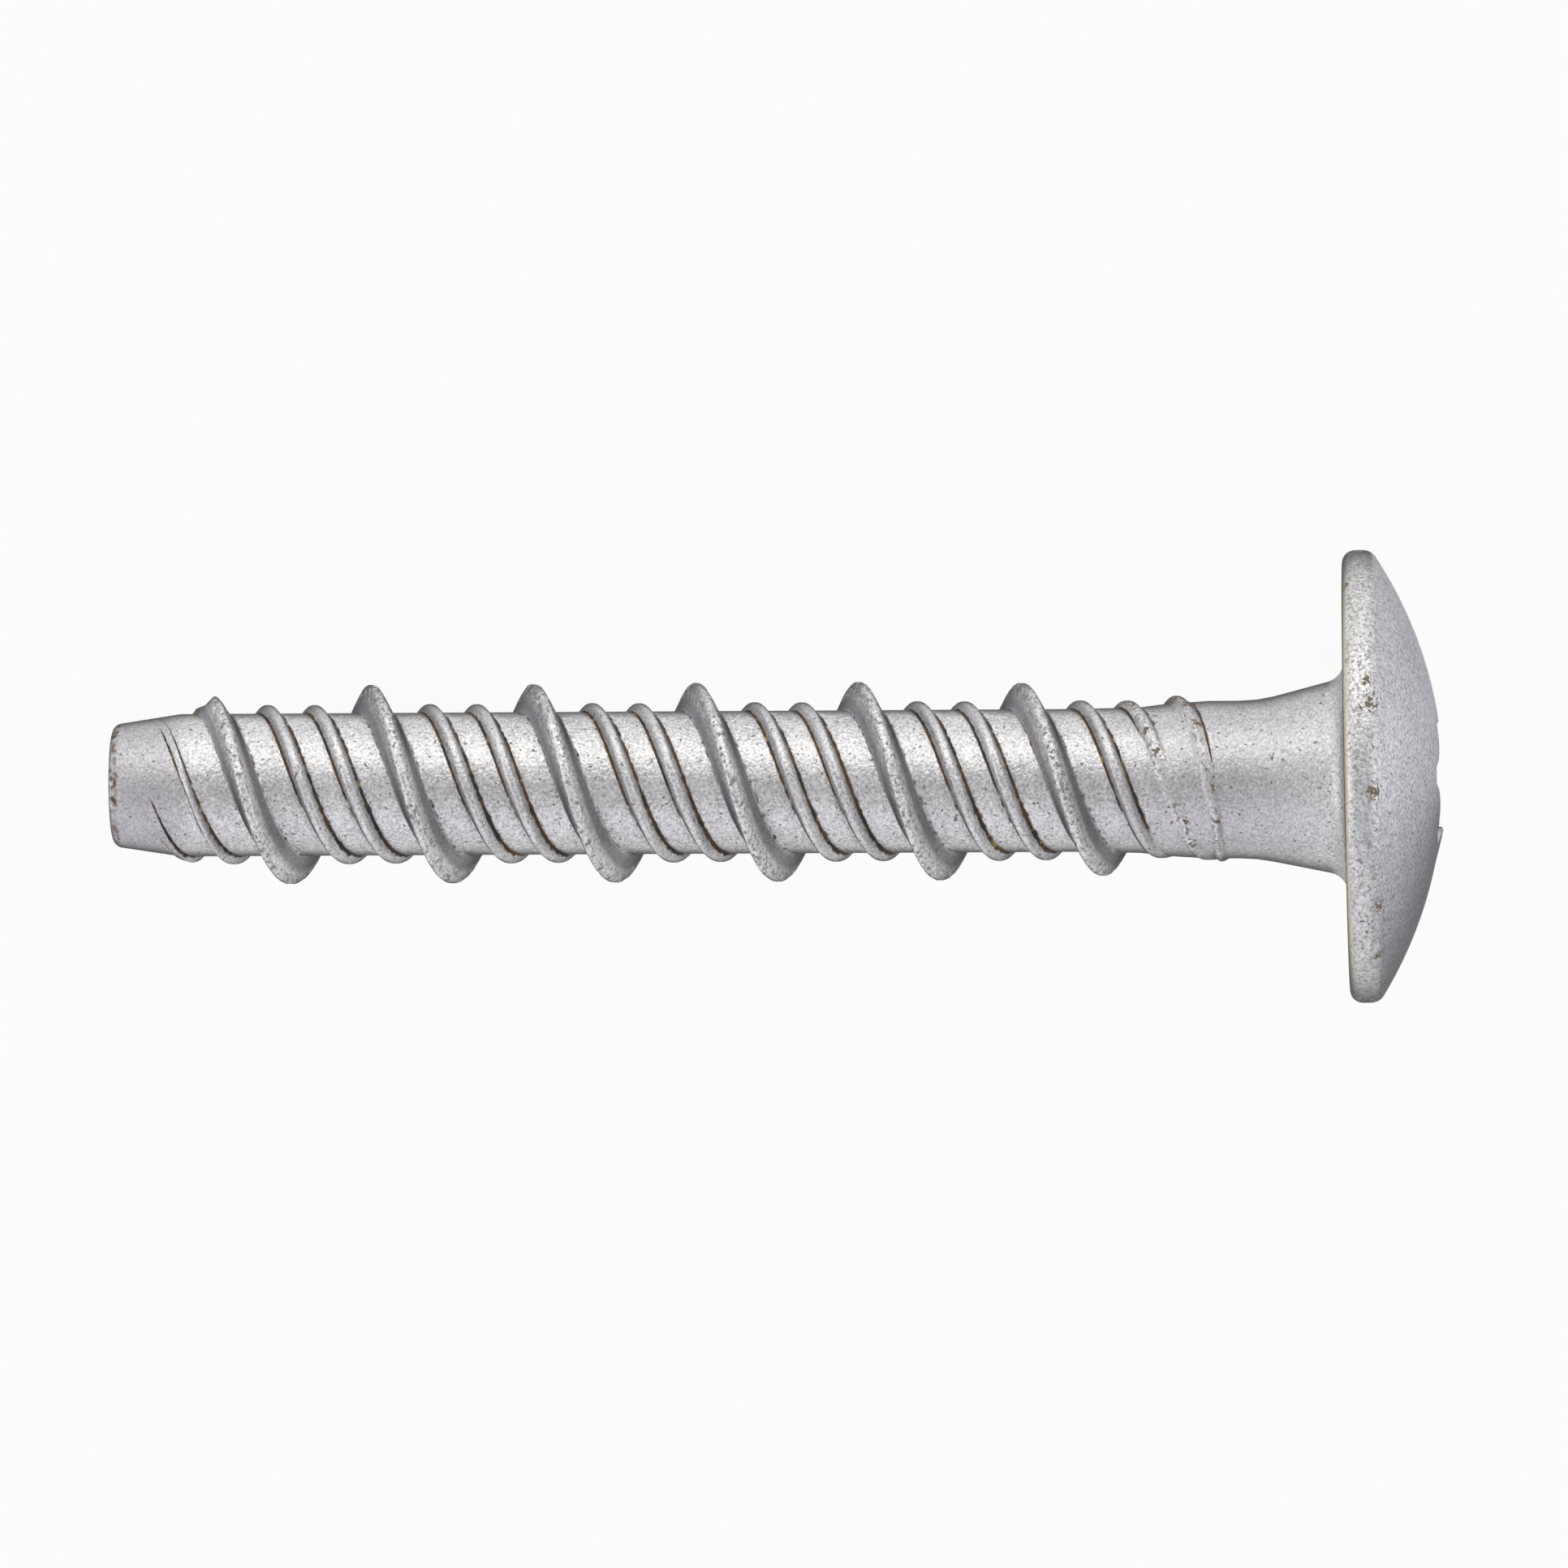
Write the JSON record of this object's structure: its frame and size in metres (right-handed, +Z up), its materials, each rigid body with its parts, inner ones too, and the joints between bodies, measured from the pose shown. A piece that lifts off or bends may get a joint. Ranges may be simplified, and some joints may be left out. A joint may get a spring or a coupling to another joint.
{
  "type": "concrete screw",
  "caption": "Concrete screw with a wide domed flange head, a hexalobular recess and a high cutting thread between low ridges, driven into a drilled hole to clamp a fixture",
  "frame": {"origin": "on the table, under the middle of the bounding box of the screw as it lies at rest", "axes": "+X runs from tip to head, +Z is up; the screw's own axis lies in the XZ plane and rises 7.1 degrees toward the head"},
  "size_m": [0.0518, 0.0176, 0.0175],
  "materials": {
    "zinc_flake_steel": "matte silver-grey zinc flake coating with a granular surface, darker in the thread roots, with specks of rust"
  },
  "bodies": {
    "root": {"concrete_screw": "zinc_flake_steel"}
  },
  "joints": []
}
